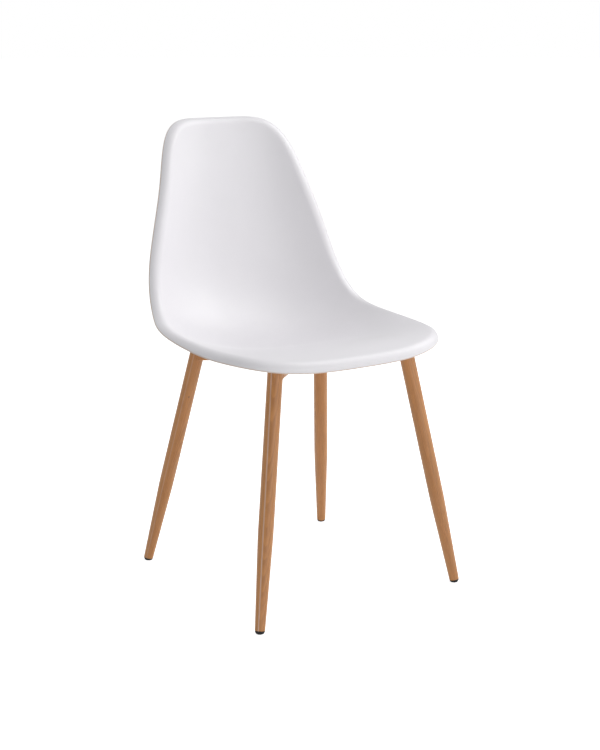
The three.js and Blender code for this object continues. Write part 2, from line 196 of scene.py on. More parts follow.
def turned(profile, sides, radius_of_angle=None):
    """Body of revolution: the point at angle a and profile step k is (r_k cos a, r_k sin a, h_k).
    The radius may be scaled by a function of the angle and the step, for a hexagon or a knurl."""
    angle = np.linspace(0, 2 * np.pi, sides, endpoint=False)
    profile = np.asarray(profile, dtype=float)
    radius = np.repeat(profile[:, :1], sides, axis=1)
    if radius_of_angle is not None:
        radius = radius * radius_of_angle(angle)
    height = np.repeat(profile[:, 1:2], sides, axis=1)
    points = np.stack([radius * np.cos(angle), radius * np.sin(angle), height], axis=-1)
    return points.reshape(-1, 3), lattice_faces(len(profile), sides, wrap_columns=True)


def arc(centre, radius, start, end, steps):
    """Points of a circular arc in a profile, from one angle to another in degrees."""
    angle = np.radians(np.linspace(start, end, steps))
    return [(centre[0] + radius * math.cos(a), centre[1] + radius * math.sin(a)) for a in angle]


# ---- Shell surface ----


def spline(stations, t):
    """Uniform cubic B-spline over 0..1 that starts and ends on its first and last stations. With u
    the place within a span, the four nearest stations weigh (1-u)^3, 3u^3-6u^2+4, 1+3u+3u^2-3u^3
    and u^3, over 6."""
    last = len(stations) - 1
    first_extra = 2 * stations[0] - stations[1]
    last_extra = 2 * stations[last] - stations[last - 1]
    padded = np.concatenate([[first_extra], stations, [last_extra]])
    span = np.minimum((t * last).astype(int), last - 1)
    u = t * last - span
    weights = [(1 - u) ** 3, 3 * u**3 - 6 * u**2 + 4, 1 + 3 * u + 3 * u**2 - 3 * u**3, u**3]
    return sum(weight * padded[span + k] for k, weight in enumerate(weights)) / 6


def rise_share(across):
    """Share of the side rise: (x^2 + c^2)^(p/2) - c^p, scaled to be 1 at the side."""

    def curve(x):
        return (x**2 + RISE_ROUNDING**2) ** (RISE_POWER / 2) - RISE_ROUNDING**RISE_POWER

    return curve(across) / curve(1.0)


def sheet(across, along):
    """Upper surface of the shell: the centre line at along, plus the half width times across
    sideways, plus the side rise times its share along the centre line's normal."""
    step = 5e-4
    before = np.clip(along - step, 0, 1)
    after = np.clip(along + step, 0, 1)
    dy = spline(LINE_Y, after) - spline(LINE_Y, before)
    dz = spline(LINE_Z, after) - spline(LINE_Z, before)
    rise = spline(SIDE_RISE, along) * rise_share(across) / np.hypot(dy, dz)
    x = spline(HALF_WIDTH, along) * across
    return np.stack([x, spline(LINE_Y, along) - rise * dz, spline(LINE_Z, along) + rise * dy], axis=-1)


def sheet_normal(across, along):
    """Cross product of the surface's sideways and lengthways steps."""
    step = 2e-3
    side = sheet(across + step, along) - sheet(across - step, along)
    up = sheet(across, np.clip(along + step, 0, 1)) - sheet(across, np.clip(along - step, 0, 1))
    return unit(np.cross(side, up))


def sheet_place(angle, fraction):
    """(across, along) at a fraction of the way to the superellipse |x|^n + |y|^n = 1, whose power
    differs between the front and the top half."""
    power = np.where(np.sin(angle) < 0, FRONT_POWER, TOP_POWER)
    total = np.abs(np.cos(angle)) ** power + np.abs(np.sin(angle)) ** power
    reach = fraction * total ** (-1 / power)
    return reach * np.cos(angle), (reach * np.sin(angle) + 1) / 2


def square_to_round(u, v):
    """(angle, fraction) of a place in a square: rings of the square become rings of the outline,
    with a quarter turn for each side."""
    wide = np.abs(u) > np.abs(v)
    big = np.where(wide, u, v)
    small = np.where(wide, v, u)
    ratio = np.where(big == 0, 0, small / np.where(big == 0, 1, big)) * np.pi / 4
    angle = np.where(wide, ratio, np.pi / 2 - ratio)
    return np.where(big < 0, angle + np.pi, angle), np.abs(big)


def edge_frame(angle):
    """At the outline: the point, the way out across the edge, and the surface normal."""
    point = sheet(*sheet_place(angle, 1.0))
    tangent = unit(sheet(*sheet_place(angle + 1e-3, 1.0)) - sheet(*sheet_place(angle - 1e-3, 1.0)))
    out = point - sheet(*sheet_place(angle, 0.998))
    out = unit(out - np.sum(out * tangent, axis=-1, keepdims=True) * tangent)
    return point, out, np.cross(out, tangent)


def lip_section():
    """Section of the lip as (outward, upward) offsets from the outline: a quarter turn of the outer
    radius, the rounded trimmed edge, and the quarter turn back at the inner radius."""
    inner = LIP_RADIUS - SHELL_THICKNESS
    turn = np.append(np.linspace(0, 1.25, 11)[1:], np.linspace(1.30, np.pi / 2, 6))
    outer_arc = np.stack([LIP_RADIUS * np.sin(turn), LIP_RADIUS * (np.cos(turn) - 1)], axis=-1)
    outer_arc[-1, 1] += LIP_EDGE_ROUND * 0.5
    corner = np.radians(np.linspace(0, -90, 5))
    low = -LIP_RADIUS + LIP_EDGE_ROUND * 0.5
    outer_x = LIP_RADIUS - LIP_EDGE_ROUND + LIP_EDGE_ROUND * np.cos(corner)
    inner_x = inner + LIP_EDGE_ROUND - LIP_EDGE_ROUND * np.cos(corner[::-1])
    drop = low + LIP_EDGE_ROUND * np.sin(corner)
    edge = np.stack([np.append(outer_x, inner_x), np.append(drop, drop[::-1])], axis=-1)
    back = turn[::-1]
    upward = inner * np.cos(back) - LIP_RADIUS
    upward[0] += LIP_EDGE_ROUND * 0.5
    inner_arc = np.stack([inner * np.sin(back), upward], axis=-1)
    return np.concatenate([outer_arc[:-1], edge, inner_arc[1:]])


def rim_order(cells):
    """Numbers of the square grid's rim points, anticlockwise."""
    k = np.arange(cells)
    width = cells + 1
    sides = [k, k * width + cells, cells * width + cells - k, (cells - k) * width]
    return np.concatenate(sides)


def shell_mesh():
    """The sheet and its lip: the upper grid, the lip's section carried round the outline, and the
    lower grid a wall's thickness below the upper one."""
    cells = SHELL_CELLS
    u, v = np.meshgrid(np.linspace(-1, 1, cells + 1), np.linspace(-1, 1, cells + 1))
    angle, fraction = square_to_round(u.ravel(), v.ravel())
    across, along = sheet_place(angle, fraction)
    upper = sheet(across, along)
    lower = upper - SHELL_THICKNESS * sheet_normal(across, along)
    rim = rim_order(cells)
    point, out, normal = edge_frame(angle[rim])
    lower[rim] = point - SHELL_THICKNESS * normal
    section = lip_section()
    rings = point + section[:, None, :1] * out + section[:, None, 1:] * normal
    points = np.concatenate([upper, lower, rings.reshape(-1, 3)])
    grid = lattice_faces(cells + 1, cells + 1)
    count = len(upper)
    first_ring = 2 * count
    last_ring = first_ring + (len(section) - 1) * len(rim)
    around = np.arange(len(rim))
    following = (around + 1) % len(rim)
    joint_out = np.stack([rim, first_ring + around, first_ring + following, rim[following]], axis=-1)
    lips = lattice_faces(len(section), len(rim), wrap_columns=True, first=first_ring)
    lips = lips[:, [0, 3, 2, 1]]
    low_rim = count + rim
    joint_in = [last_ring + around, low_rim, low_rim[following], last_ring + following]
    joint_in = np.stack(joint_in, axis=-1)
    quads = np.concatenate([grid, count + grid[:, ::-1], joint_out, lips, joint_in])
    trim = np.zeros(len(points))
    ring_trim = np.clip((TRIM_HEIGHT - section[:, 1] - LIP_RADIUS) / TRIM_FADE, 0, 1)
    trim[first_ring:] = np.repeat(ring_trim, len(rim))
    return points, quads, trim


def under_sheet(x, y):
    """Height of the middle of the sheet's wall over a place under the seat, with the place along
    found from the centre line's y."""
    t = np.linspace(0, 0.62, 400)
    along = np.interp(y, spline(LINE_Y, t), t)
    across = x / spline(HALF_WIDTH, along)
    return sheet(across, along)[..., 2] - SHELL_THICKNESS / 2


# ---- Frame plane and legs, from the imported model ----


def from_frame_plane(points):
    """Points in the frame's plane, turned about X by the tilt and moved to the crossing."""
    cosine = math.cos(FRAME_TILT)
    sine = math.sin(FRAME_TILT)
    x, y, z = np.moveaxis(np.asarray(points, dtype=float), -1, 0)
    return np.stack([x, y * cosine + z * sine, z * cosine - y * sine], axis=-1) + FRAME_CENTRE


def to_frame_plane(vectors):
    """The inverse turn, for points already relative to the crossing."""
    cosine = math.cos(FRAME_TILT)
    sine = math.sin(FRAME_TILT)
    x, y, z = np.moveaxis(np.asarray(vectors, dtype=float), -1, 0)
    return np.stack([x, y * cosine - z * sine, z * cosine + y * sine], axis=-1)


def leg_line(name):
    """A leg's axis from its packed tube: the means of the points of its two end rings."""
    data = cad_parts["leg_" + name].data
    points = np.empty(len(data.vertices) * 3, dtype=np.float32)
    data.vertices.foreach_get("co", points)
    points = np.unique(np.round(points.reshape(-1, 3).astype(float), 6), axis=0)
    middle = points.mean(axis=0)
    axis = np.linalg.svd(points - middle)[2][0]
    axis = axis * np.sign(axis[2])
    for _ in range(2):
        height = (points - middle) @ axis
        low = points[height < height.min() + 0.002].mean(axis=0)
        high = points[height > height.max() - 0.002].mean(axis=0)
        axis = unit(high - low)
    foot = low - axis * low[2] / axis[2]
    return foot, axis, float(np.linalg.norm(high - foot))


class Corner:
    """One corner of the chair: its leg's foot, axis and length, where the axis meets the frame's
    plane, and the fixing point on the way there from the crossing."""

    def __init__(self, name):
        self.name = name
        self.foot, self.axis, self.length = leg_line(name)
        foot = to_frame_plane(self.foot - FRAME_CENTRE)
        self.plane_axis = to_frame_plane(self.axis)
        self.meeting = foot - self.plane_axis * foot[2] / self.plane_axis[2]
        self.outward = unit(self.meeting)
        self.fixing = self.outward * FIXING_DISTANCE
        flat_out = np.array([self.foot[0], self.foot[1], 0.0])
        self.front = unit(flat_out - self.axis * (flat_out @ self.axis))
        self.side = np.cross(self.axis, self.front)

    def up_leg(self, points):
        """Points in the leg's own axes (outward, sideways, up the leg) in the chair's axes."""
        flat = points[:, :1] * self.front + points[:, 1:2] * self.side
        return self.foot + flat + points[:, 2:] * self.axis


corners = {name: Corner(name) for name in CORNERS}


# ---- Materials ----


def node(tree, kind, **settings):
    """Adds a node and sets its plain properties."""
    made = tree.nodes.new(kind)
    for key, value in settings.items():
        setattr(made, key, value)
    return made


def link(tree, start, end):
    """Joins an output socket to an input socket."""
    tree.links.new(start, end)


def feed(tree, socket, value):
    """Joins an output socket to an input socket, or sets the input socket to a number or colour."""
    if isinstance(value, bpy.types.NodeSocket):
        link(tree, value, socket)
    else:
        socket.default_value = value


def new_group(name, outputs, **numbers):
    """Shader node group that takes a vector and some numbers, and gives numbers."""
    tree = bpy.data.node_groups.new(name, "ShaderNodeTree")
    tree.interface.new_socket(name="Vector", in_out="INPUT", socket_type="NodeSocketVector")
    for key, value in numbers.items():
        label = key.replace("_", " ")
        socket = tree.interface.new_socket(name=label, in_out="INPUT", socket_type="NodeSocketFloat")
        socket.default_value = value
    for label in outputs:
        tree.interface.new_socket(name=label, in_out="OUTPUT", socket_type="NodeSocketFloat")
    return tree, node(tree, "NodeGroupInput").outputs, node(tree, "NodeGroupOutput").inputs


def maths(tree, operation, first, second=None, third=None):
    """Math node on sockets or numbers, giving its output socket."""
    made = node(tree, "ShaderNodeMath", operation=operation)
    for place, value in enumerate([first, second, third]):
        if value is not None:
            feed(tree, made.inputs[place], value)
    return made.outputs[0]


def noise(tree, vector, scale, detail=2.0, roughness=0.5, distortion=0.0):
    """Noise texture, giving its factor socket."""
    made = node(tree, "ShaderNodeTexNoise")
    link(tree, vector, made.inputs["Vector"])
    feed(tree, made.inputs["Scale"], scale)
    feed(tree, made.inputs["Detail"], detail)
    feed(tree, made.inputs["Roughness"], roughness)
    feed(tree, made.inputs["Distortion"], distortion)
    return made.outputs["Fac"]


def stretched(tree, vector, scale):
    """The vector with its components multiplied by three numbers."""
    made = node(tree, "ShaderNodeVectorMath", operation="MULTIPLY")
    link(tree, vector, made.inputs[0])
    made.inputs[1].default_value = scale
    return made.outputs[0]


def spread(tree, value, low, high, new_low=0.0, new_high=1.0, smooth=True):
    """Map range from low..high to new_low..new_high, clamped."""
    made = node(tree, "ShaderNodeMapRange")
    made.interpolation_type = "SMOOTHSTEP" if smooth else "LINEAR"
    link(tree, value, made.inputs["Value"])
    made.inputs["From Min"].default_value = low
    made.inputs["From Max"].default_value = high
    made.inputs["To Min"].default_value = new_low
    made.inputs["To Max"].default_value = new_high
    return made.outputs["Result"]


def mixed(tree, factor, first, second):
    """Colour mix; first and second are sockets or colours."""
    made = node(tree, "ShaderNodeMix", data_type="RGBA")
    feed(tree, made.inputs[0], factor)
    for place, value in [(6, first), (7, second)]:
        feed(tree, made.inputs[place], (*value, 1.0) if isinstance(value, tuple) else value)
    return made.outputs[2]


def moulded_texture_group():
    """Fine spark-eroded texture of a mould with a soft, wide unevenness from cooling."""
    tree, given, put = new_group("moulded texture", ["Height", "Mottle"], Texture_Scale=2600.0)
    fine = noise(tree, given["Vector"], given["Texture Scale"], 2.0, 0.6)
    wide = noise(tree, given["Vector"], 9.0, 2.0, 0.5)
    flow = noise(tree, stretched(tree, given["Vector"], (26.0, 60.0, 14.0)), 1.0, 3.0, 0.55, 0.6)
    mottle = maths(tree, "MULTIPLY_ADD", wide, 0.5, maths(tree, "MULTIPLY", flow, 0.5))
    height = maths(tree, "MULTIPLY_ADD", fine, 0.35, maths(tree, "MULTIPLY", wide, 0.9))
    link(tree, height, put["Height"])
    link(tree, mottle, put["Mottle"])
    return tree


def handling_group():
    """Faint rubbed patches and fine hairline scuffs from use, as masks."""
    tree, given, put = new_group("handling marks", ["Rubbed", "Scuffs"], Patch_Scale=14.0)
    patches = noise(tree, given["Vector"], given["Patch Scale"], 4.0, 0.6, 0.4)
    link(tree, spread(tree, patches, 0.42, 0.72), put["Rubbed"])
    thin = noise(tree, stretched(tree, given["Vector"], (420.0, 36.0, 60.0)), 1.0, 3.0, 0.6, 1.5)
    line = maths(tree, "ABSOLUTE", maths(tree, "SUBTRACT", thin, 0.5))
    few = spread(tree, noise(tree, given["Vector"], 30.0, 2.0), 0.55, 0.75)
    link(tree, maths(tree, "MULTIPLY", spread(tree, line, 0.012, 0.0), few), put["Scuffs"])
    return tree


def wood_grain_group():
    """Printed light wood. Growth rings are shells round a pith line that leans and wanders beside
    the tube; fibres are noise drawn out along the grain; pores are short dark dashes in the rings."""
    outputs = ["Rings", "Fibres", "Pores", "Tone"]
    tree, given, put = new_group("wood grain", outputs, Ring_Spacing=0.0021)
    place = given["Vector"]
    wander_distance = 0.020
    lean = (0.055, -0.03)
    wander = node(tree, "ShaderNodeTexNoise")
    link(tree, stretched(tree, place, (14.0, 14.0, 3.2)), wander.inputs["Vector"])
    wander.inputs["Scale"].default_value = 1.0
    wander.inputs["Detail"].default_value = 2.0
    sway = node(tree, "ShaderNodeVectorMath", operation="MULTIPLY_ADD")
    link(tree, wander.outputs["Color"], sway.inputs[0])
    sway.inputs[1].default_value = (wander_distance, wander_distance, 0.0)
    link(tree, place, sway.inputs[2])
    parts = node(tree, "ShaderNodeSeparateXYZ")
    link(tree, sway.outputs[0], parts.inputs[0])
    from_pith_x = maths(tree, "MULTIPLY_ADD", parts.outputs["Z"], lean[0], parts.outputs["X"])
    from_pith_y = maths(tree, "MULTIPLY_ADD", parts.outputs["Z"], lean[1], parts.outputs["Y"])
    square_x = maths(tree, "MULTIPLY", from_pith_x, from_pith_x)
    square = maths(tree, "MULTIPLY_ADD", from_pith_y, from_pith_y, square_x)
    turns = maths(tree, "DIVIDE", maths(tree, "SQRT", square), given["Ring Spacing"])
    phase = maths(tree, "FRACT", turns)
    late = maths(tree, "MULTIPLY", spread(tree, phase, 0.0, 0.78), spread(tree, phase, 1.0, 0.90))
    uneven = noise(tree, stretched(tree, place, (160.0, 160.0, 9.0)), 1.0, 2.0)
    weight = spread(tree, uneven, 0.25, 0.75, 0.25, 1.0)
    link(tree, maths(tree, "MULTIPLY", late, weight), put["Rings"])
    fibres = noise(tree, stretched(tree, place, (1500.0, 1500.0, 34.0)), 1.0, 3.0, 0.65)
    link(tree, fibres, put["Fibres"])
    dashes = noise(tree, stretched(tree, place, (2600.0, 2600.0, 150.0)), 1.0, 1.0)
    in_ring = spread(tree, phase, 0.15, 0.6, 0.35, 1.0)
    link(tree, maths(tree, "MULTIPLY", spread(tree, dashes, 0.60, 0.74), in_ring), put["Pores"])
    tone_place = stretched(tree, place, (60.0, 60.0, 5.0))
    link(tree, noise(tree, tone_place, 1.0, 3.0, 0.6), put["Tone"])
    return tree


def brushed_group():
    """Fine tool lines and grey blooming of bare or plated metal."""
    tree, given, put = new_group("metal finish", ["Lines", "Bloom"])
    crossed = stretched(tree, given["Vector"], (900.0, 900.0, 7000.0))
    link(tree, noise(tree, crossed, 1.0, 2.0, 0.6), put["Lines"])
    link(tree, noise(tree, given["Vector"], 420.0, 4.0, 0.65, 0.5), put["Bloom"])
    return tree


GROUPS = {
    "moulded": moulded_texture_group(),
    "handling": handling_group(),
    "wood": wood_grain_group(),
    "metal": brushed_group(),
}


def use_group(tree, key, vector, **values):
    """Places a group in a material, fed by a vector, and gives its output sockets."""
    made = node(tree, "ShaderNodeGroup")
    made.node_tree = GROUPS[key]
    link(tree, vector, made.inputs["Vector"])
    for label, value in values.items():
        made.inputs[label.replace("_", " ")].default_value = value
    return made.outputs


def new_material(name, **constants):
    """Material with a Principled BSDF whose constant values are set on its own sockets."""
    made = bpy.data.materials.new(name)
    made.use_nodes = True
    tree = made.node_tree
    shader = next(n for n in tree.nodes if n.type == "BSDF_PRINCIPLED")
    for label, value in constants.items():
        shader.inputs[label.replace("_", " ")].default_value = value
    return made, tree, shader


def object_place(tree):
    """Place on the object, in metres."""
    return node(tree, "ShaderNodeTexCoord").outputs["Object"]


def attribute(tree, name):
    """A value stored on the mesh's points."""
    return node(tree, "ShaderNodeAttribute", attribute_name=name)


def bumped(tree, shader, height, strength, distance):
    """Bump from a height socket into the shader's normal."""
    made = node(tree, "ShaderNodeBump")
    made.inputs["Strength"].default_value = strength
    made.inputs["Distance"].default_value = distance
    link(tree, height, made.inputs["Height"])
    link(tree, made.outputs["Normal"], shader.inputs["Normal"])


def shell_material():
    """White polypropylene: satin mould texture, faint flow mottle and a warm brownish-grey band along the
    lip's lower edge.
    """
    made, tree, shader = new_material("white_shell", IOR=1.49, Specular_IOR_Level=0.45)
    place = object_place(tree)
    moulded = use_group(tree, "moulded", place, Texture_Scale=2400.0)
    handling = use_group(tree, "handling", place, Patch_Scale=11.0)
    trim = attribute(tree, "trim_edge").outputs["Fac"]
    darker_white = (0.875, 0.856, 0.886)
    paler_white = (0.915, 0.896, 0.920)
    rubbed_white = (0.878, 0.862, 0.874)
    lip_edge_band = (0.71, 0.57, 0.47)
    body = mixed(tree, moulded["Mottle"], darker_white, paler_white)
    worn = mixed(tree, maths(tree, "MULTIPLY", handling["Rubbed"], 0.25), body, rubbed_white)
    # A warm brownish-grey band mixed in along the lip's lower edge, where trim_edge is 1.
    edge_banded = mixed(tree, maths(tree, "MULTIPLY", trim, 0.8), worn, lip_edge_band)
    link(tree, edge_banded, shader.inputs["Base Color"])
    rough = spread(tree, handling["Rubbed"], 0.0, 1.0, 0.40, 0.34, smooth=False)
    link(tree, maths(tree, "MULTIPLY_ADD", handling["Scuffs"], 0.10, rough), shader.inputs["Roughness"])
    bumped(tree, shader, moulded["Height"], 0.12, 0.0006)
    return made


# Wood colours, and a small dark knot in the timber that the wood finish is cut from.
WOOD_DARKER = (0.546, 0.223, 0.047)
WOOD_PALER = (0.663, 0.296, 0.076)
WOOD_FIBRE = (0.746, 0.350, 0.098)
WOOD_LATE = (0.41, 0.149, 0.031)
WOOD_PORE = (0.273, 0.090, 0.021)
# Pale streak colour: partly a seam in the wood print, partly a painted highlight down the lacquer.
PALE_STREAK_PRINT_AND_HIGHLIGHT = (0.80, 0.61, 0.49)
WOOD_KNOT = (0.16, 0.055, 0.018)
KNOT_PLACE = (0.0247, -0.0181, 1.9385)
KNOT_RADIUS = 0.0011


def wood_print_material():
    """Steel with a printed wood film under satin lacquer: light and late wood, pores, fibres, one
    knot, and a pale streak down the tube where the mesh says so, partly a seam in the print and
    partly a painted highlight."""
    made, tree, shader = new_material(
        "wood_print",
        IOR=1.5,
        Coat_Roughness=0.5,
        Coat_IOR=1.5,
        Diffuse_Roughness=1.0,
        Sheen_Weight=0.25,
        Sheen_Roughness=0.5,
        Sheen_Tint=(1.0, 0.72, 0.5, 1.0),
    )
    place = attribute(tree, "grain_place").outputs["Vector"]
    wood = use_group(tree, "wood", place)
    handling = use_group(tree, "handling", place, Patch_Scale=26.0)
    streak = attribute(tree, "pale_streak_print_and_highlight").outputs["Fac"]
    tone = mixed(tree, spread(tree, wood["Tone"], 0.3, 0.7), WOOD_DARKER, WOOD_PALER)
    fibres = mixed(tree, spread(tree, wood["Fibres"], 0.35, 0.68), tone, WOOD_FIBRE)
    ringed = mixed(tree, maths(tree, "MULTIPLY", wood["Rings"], 0.45), fibres, WOOD_LATE)
    pored = mixed(tree, maths(tree, "MULTIPLY", wood["Pores"], 0.35), ringed, WOOD_PORE)
    broken = spread(tree, wood["Fibres"], 0.2, 0.7, 0.45, 1.0)
    # The pale streak mixed in: partly a print seam, partly a painted highlight along the tube.
    streaked = mixed(tree, maths(tree, "MULTIPLY", streak, broken), pored, PALE_STREAK_PRINT_AND_HIGHLIGHT)
    away = node(tree, "ShaderNodeVectorMath", operation="DISTANCE")
    link(tree, place, away.inputs[0])
    away.inputs[1].default_value = KNOT_PLACE
    knot = spread(tree, away.outputs["Value"], 2 * KNOT_RADIUS, 0.4 * KNOT_RADIUS, 0.0, 0.6)
    link(tree, mixed(tree, knot, streaked, WOOD_KNOT), shader.inputs["Base Color"])
    link(tree, spread(tree, wood["Fibres"], 0.3, 0.7, 0.50, 0.40), shader.inputs["Roughness"])
    link(tree, spread(tree, handling["Rubbed"], 0.0, 1.0, 0.95, 0.75), shader.inputs["Coat Weight"])
    height = maths(tree, "MULTIPLY_ADD", wood["Fibres"], 0.4, maths(tree, "MULTIPLY", wood["Pores"], -0.6))
    bumped(tree, shader, height, 0.10, 0.0002)
    return made


def black_plastic_material():
    """Black moulded polyethylene, rubbed paler where it scrapes."""
    made, tree, shader = new_material("black_plastic", IOR=1.5)
    place = object_place(tree)
    moulded = use_group(tree, "moulded", place, Texture_Scale=3200.0)
    handling = use_group(tree, "handling", place, Patch_Scale=260.0)
    body = mixed(tree, moulded["Mottle"], (0.006, 0.006, 0.007), (0.012, 0.012, 0.013))
    rubbed = mixed(tree, maths(tree, "MULTIPLY", handling["Rubbed"], 0.5), body, (0.035, 0.034, 0.032))
    link(tree, rubbed, shader.inputs["Base Color"])
    link(tree, spread(tree, handling["Rubbed"], 0.0, 1.0, 0.42, 0.6), shader.inputs["Roughness"])
    bumped(tree, shader, moulded["Height"], 0.2, 0.0003)
    return made


def rubber_material():
    """Dark rubber with a dusty bloom."""
    made, tree, shader = new_material("pad_rubber", IOR=1.5)
    place = object_place(tree)
    moulded = use_group(tree, "moulded", place, Texture_Scale=3600.0)
    handling = use_group(tree, "handling", place, Patch_Scale=180.0)
    body = mixed(tree, handling["Rubbed"], (0.020, 0.020, 0.021), (0.050, 0.049, 0.047))
    link(tree, body, shader.inputs["Base Color"])
    link(tree, spread(tree, moulded["Mottle"], 0.3, 0.7, 0.72, 0.88), shader.inputs["Roughness"])
    bumped(tree, shader, moulded["Height"], 0.3, 0.0003)
    return made


def metal_material(name, clean, dull, smooth, rough):
    """Plated or machined metal with tool lines and a dull bloom."""
    made, tree, shader = new_material(name, Metallic=1.0)
    place = object_place(tree)
    finish = use_group(tree, "metal", place)
    bloom = spread(tree, finish["Bloom"], 0.4, 0.7)
    link(tree, mixed(tree, bloom, clean, dull), shader.inputs["Base Color"])
    link(tree, spread(tree, finish["Lines"], 0.3, 0.7, smooth, rough), shader.inputs["Roughness"])
    bumped(tree, shader, finish["Lines"], 0.15, 0.00008)
    return made


white_shell = shell_material()
wood_print = wood_print_material()
black_plastic = black_plastic_material()
pad_rubber = rubber_material()
zinc_steel = metal_material("zinc_steel", (0.62, 0.63, 0.65), (0.42, 0.43, 0.44), 0.24, 0.42)
insert_brass = metal_material("insert_brass", (0.78, 0.58, 0.27), (0.52, 0.38, 0.17), 0.22, 0.40)


# ---- Shell piece, with its bosses and ribs ----


def boss_points(corner):
    """Turned boss with a bore for the insert, its top inside the sheet's wall."""
    low = BAR_HEIGHT / 2 + 2 * GAP + PAD_HEIGHT
    bore = INSERT_RADIUS + GAP
    depth = low + INSERT_LENGTH + 2 * GAP
    centre = from_frame_plane(corner.fixing)
    top = under_sheet(centre[0], centre[1]) - centre[2]
    inner_break = 0.0005
    outer_break = 0.0008
    flare_radius = 0.004
    flare_drop = 0.006
    flare = arc((BOSS_FLARE + flare_radius, top - flare_drop), flare_radius, 180, 110, 7)
    profile = [(0, depth), (bore, depth), (bore, low + inner_break), (bore + inner_break, low)]
    profile += [(BOSS_RADIUS - outer_break, low), (BOSS_RADIUS, low + outer_break), *flare, (0, top)]
    points, quads = turned(profile, FIXING_SIDES)
    return from_frame_plane(points + corner.fixing), quads


def rib_points(corner, turn):
    """Rib through the boss: a box along a line at the given turn, whose lower edge rises in an arch
    from the boss outwards and whose upper edge follows the inside of the sheet's wall."""
    low = BAR_HEIGHT / 2 + 2 * GAP + PAD_HEIGHT + RIB_STEP
    along = np.linspace(-0.5, 0.5, 41) * RIB_LENGTH
    direction = np.array([math.cos(turn), math.sin(turn), 0.0])
    sideways = np.array([-math.sin(turn), math.cos(turn), 0.0])
    line = corner.fixing + along[:, None] * direction
    world = from_frame_plane(line)
    top = under_sheet(world[:, 0], world[:, 1]) - world[:, 2]
    arch = np.clip((np.abs(along) - BOSS_RADIUS) / (RIB_LENGTH / 2 - BOSS_RADIUS), 0, 1) ** 2
    bottom = low + (top - RIB_END_HEIGHT - low) * arch
    half = RIB_WIDTH / 2
    soft = 0.0005
    ring = [(-half, 1, 0), (-half, 0, soft), (-half + soft, 0, 0)]
    ring += [(half - soft, 0, 0), (half, 0, soft), (half, 1, 0)]
    rows = []
    for across, is_top, lift in ring:
        height = top if is_top else bottom + lift
        rows.append(line + across * sideways + height[:, None] * np.array([0.0, 0.0, 1.0]))
    points = np.stack(rows, axis=1)
    ends = np.repeat(points[[0, -1]].mean(axis=1, keepdims=True), len(ring), axis=1)
    points = np.concatenate([ends[:1], points, ends[1:]])
    quads = lattice_faces(len(points), len(ring), wrap_columns=True)
    return from_frame_plane(points.reshape(-1, 3)), quads


def gathered(parts):
    """Several (points, quads) parts as one, with the quads renumbered."""
    starts = np.cumsum([0] + [len(points) for points, _ in parts[:-1]])
    quads = np.concatenate([quads + start for (_, quads), start in zip(parts, starts)])
    return np.concatenate([points for points, _ in parts]), quads


def make_shell():
    """One piece: the sheet with its lip, the bosses and their crossed ribs."""
    points, quads, trim = shell_mesh()
    parts = [(points, quads)]
    for corner in corners.values():
        parts.append(boss_points(corner))
        parts += [rib_points(corner, turn) for turn in (math.pi / 4, -math.pi / 4)]
    all_points, all_quads = gathered(parts)
    data = new_mesh("seat_shell_moulding", all_points, all_quads)
    edge = np.zeros(len(all_points))
    edge[: len(trim)] = trim
    add_attribute(data, "trim_edge", edge)
    piece("seat_shell_moulding", data, white_shell, ["seat_shell"], crease=50)


make_shell()


# ---- Legs, glides and caps ----


def leg_radius(distance):
    """Tube radius at a distance up from the floor: straight taper, then constant."""
    return FOOT_RADIUS + np.clip(distance / TAPER_LENGTH, 0, 1) * (LEG_RADIUS - FOOT_RADIUS)


def leg_profile(length):
    """Tube wall as a closed (radius, height) outline with the cut edges broken, and with the corner
    where the taper begins smoothed by a shallow parabola."""
    low = GLIDE_HEIGHT + GAP
    edge = 0.0003
    smoothing = 0.0004
    taper = np.linspace(low, TAPER_LENGTH - 0.012, 14)
    change = np.linspace(TAPER_LENGTH - 0.008, TAPER_LENGTH + 0.008, 5)
    straight = np.linspace(TAPER_LENGTH + 0.03, length, 12)
    height = np.concatenate([taper, change, straight])
    blend = np.clip((height - TAPER_LENGTH + 0.010) / 0.020, 0, 1)
    outside = leg_radius(height) - smoothing * blend * (1 - blend)
    inside = outside - LEG_WALL
    outer = np.stack([outside, height], axis=-1)
    inner = np.stack([inside, height], axis=-1)[::-1]
    foot_out = outside[0]
    foot_in = inside[0]
    foot = [(foot_in, low + edge), (foot_in + edge, low), (foot_out - edge, low), (foot_out, low + edge)]
    bore = LEG_RADIUS - LEG_WALL
    head = [(LEG_RADIUS, length - edge), (LEG_RADIUS - edge, length)]
    head += [(bore + edge, length), (bore, length - edge)]
    return np.concatenate([foot, outer[1:-1], head, inner[1:-1], foot[:1]])


# Where each leg's pale streak lies, as a turn about the leg from its outward side, in degrees, at
# the floor and at the frame, and how strong it is; the streak is partly a seam in the print and
# partly a painted highlight. And how far each leg's grain is moved in the same timber.
STREAKS = {
    "front_right": (-9.5, -18.0, 1.0),
    "front_left": (60.0, 60.0, 0.22),
    "rear_right": (76.0, 76.0, 0.40),
    "rear_left": (20.0, 20.0, 0.25),
}
STREAK_WIDTH = 0.0011
TIMBER = {
    "front_right": (0.041, 0.012, 0.10),
    "front_left": (-0.036, 0.022, 0.85),
    "rear_right": (0.030, -0.030, 1.60),
    "rear_left": (-0.045, -0.014, 2.40),
}


